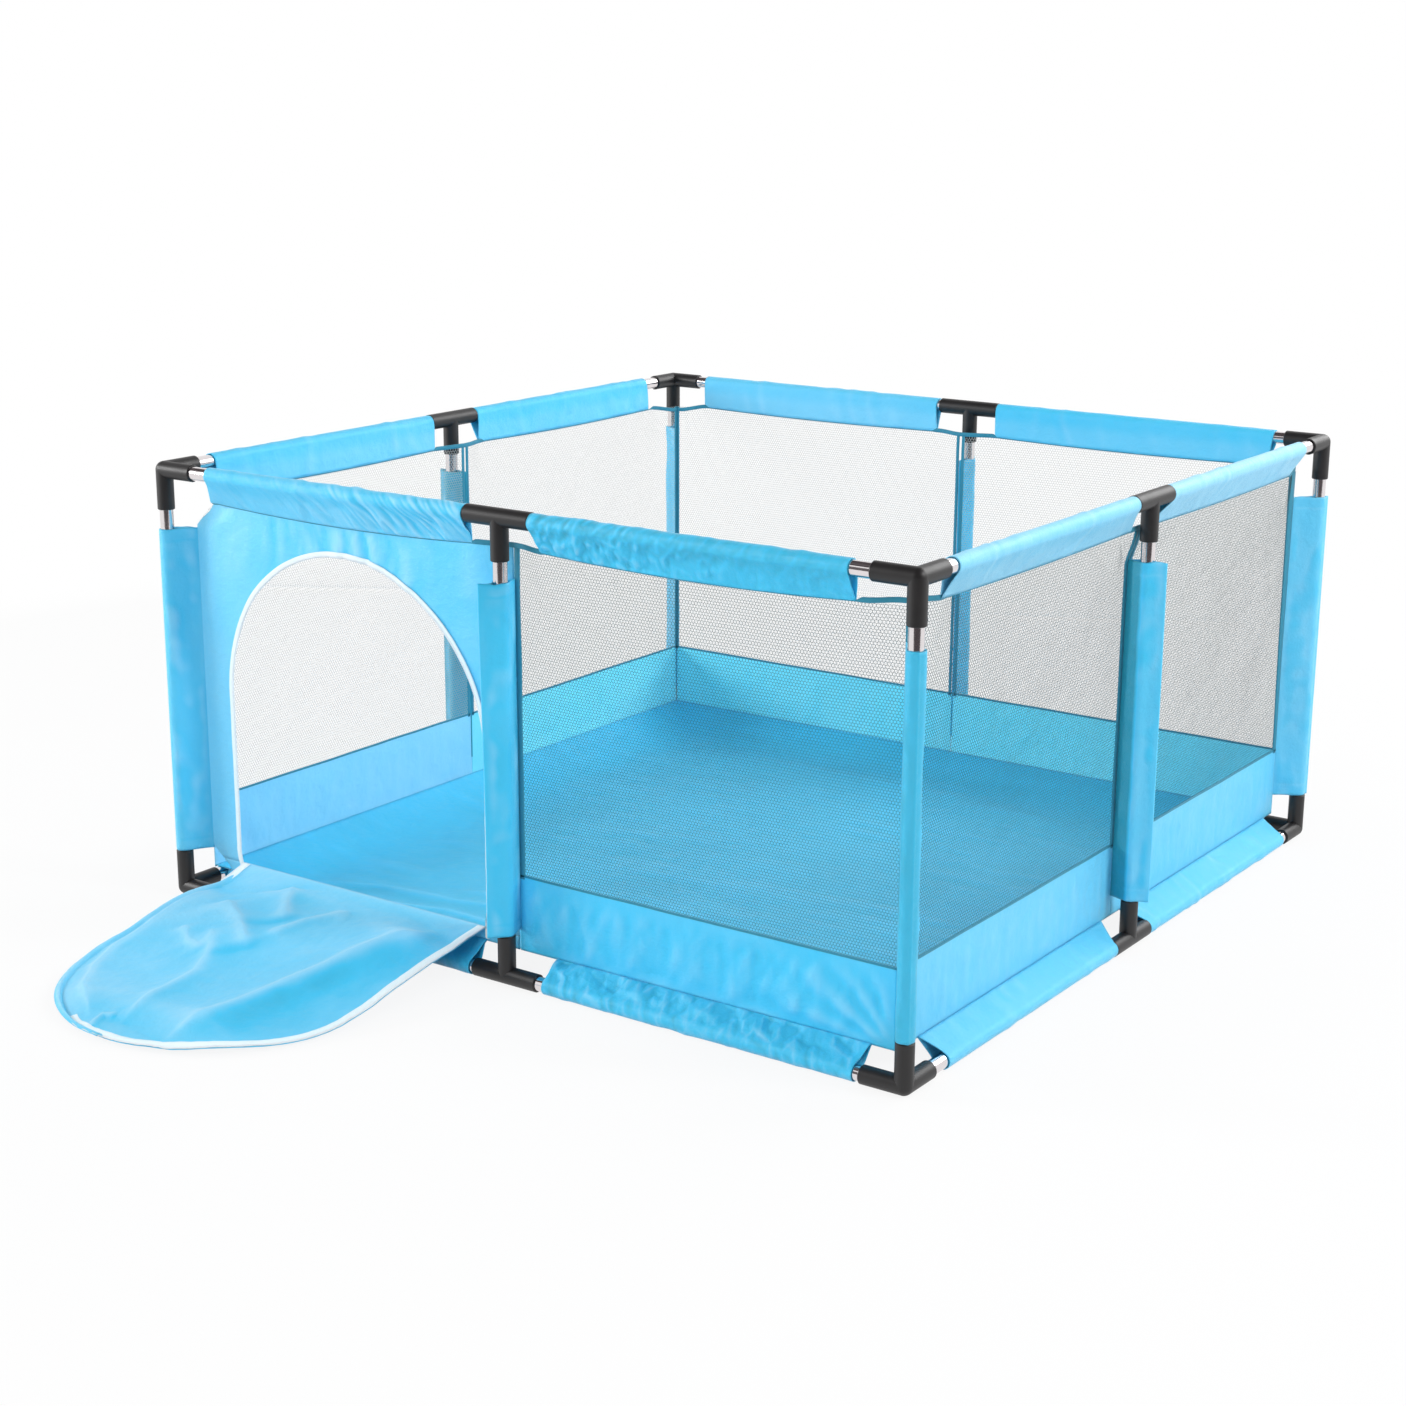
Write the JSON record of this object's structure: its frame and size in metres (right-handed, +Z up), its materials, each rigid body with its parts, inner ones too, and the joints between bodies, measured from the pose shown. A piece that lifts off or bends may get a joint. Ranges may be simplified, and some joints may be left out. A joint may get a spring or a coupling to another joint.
{
  "type": "playpen",
  "caption": "Square knock-down playpen: steel tubes in moulded connectors carry a sewn cover with net walls, a fabric floor and an arched door whose flap zips open and folds down outside.",
  "frame": {"origin": "middle of the pen's square frame, on the ground", "axes": "+Z up, -Y towards the side with the zipped door, +X to the right seen from in front of that side"},
  "size_m": [1.28, 1.7255, 0.66],
  "materials": {
    "connector_plastic": "satin",
    "chrome_tube": "polished",
    "blue_fabric": "semi-gloss coated",
    "net": "knitted net",
    "binding": "woven tape",
    "zip_tape": "woven tape with coil",
    "zip_metal": "gloss white"
  },
  "bodies": {
    "playpen": {"bottom_corner_back_left": "connector_plastic", "bottom_corner_front_right": "connector_plastic", "bottom_corner_left_front": "connector_plastic", "bottom_corner_right_back": "connector_plastic", "bottom_rail_back_left": "chrome_tube", "bottom_rail_back_right": "chrome_tube", "bottom_rail_front_left": "chrome_tube", "bottom_rail_front_right": "chrome_tube", "bottom_rail_left_back": "chrome_tube", "bottom_rail_left_front": "chrome_tube", "bottom_rail_right_back": "chrome_tube", "bottom_rail_right_front": "chrome_tube", "bottom_sleeves": "blue_fabric", "bottom_tee_back": "connector_plastic", "bottom_tee_front": "connector_plastic", "bottom_tee_left": "connector_plastic", "bottom_tee_right": "connector_plastic", "corner_post_back_left": "chrome_tube", "corner_post_front_right": "chrome_tube", "corner_post_left_front": "chrome_tube", "corner_post_right_back": "chrome_tube", "door_panel": "blue_fabric", "edge_binding": "binding", "floor_mat": "blue_fabric", "floor_rim": "blue_fabric", "mid_post_back": "chrome_tube", "mid_post_front": "chrome_tube", "mid_post_left": "chrome_tube", "mid_post_right": "chrome_tube", "net_back_left": "net", "net_back_right": "net", "net_front_right": "net", "net_left_back": "net", "net_left_front": "net", "net_right_back": "net", "net_right_front": "net", "post_pockets": "blue_fabric", "top_corner_back_left": "connector_plastic", "top_corner_front_right": "connector_plastic", "top_corner_left_front": "connector_plastic", "top_corner_right_back": "connector_plastic", "top_rail_back_left": "chrome_tube", "top_rail_back_right": "chrome_tube", "top_rail_front_left": "chrome_tube", "top_rail_front_right": "chrome_tube", "top_rail_left_back": "chrome_tube", "top_rail_left_front": "chrome_tube", "top_rail_right_back": "chrome_tube", "top_rail_right_front": "chrome_tube", "top_sleeves": "blue_fabric", "top_tee_back": "connector_plastic", "top_tee_front": "connector_plastic", "top_tee_left": "connector_plastic", "top_tee_right": "connector_plastic", "wall_band": "blue_fabric", "zip_panel_tape": "zip_tape"},
    "door": {"door_flap": "blue_fabric", "zip_flap_tape": "zip_tape"},
    "slider": {"zip_slider": "zip_metal"},
    "pull": {"zip_pull": "zip_metal"}
  },
  "joints": [
    {"name": "door_hinge", "type": "hinge", "parent": "playpen", "child": "door", "pos_m": [-0.297, -0.5975, 0.06], "axis": [-1, 0, 0], "range_deg": [0, 96.89]},
    {"name": "zip_travel", "type": "slide", "parent": "playpen", "child": "slider", "axis": [0, 0, 1], "range_m": [0, 0.225]},
    {"name": "pull_swing", "type": "hinge", "parent": "slider", "child": "pull", "pos_m": [-0.0556, -0.60145, 0.073], "axis": [-1, 0, 0], "range_deg": [0, 170]}
  ]
}
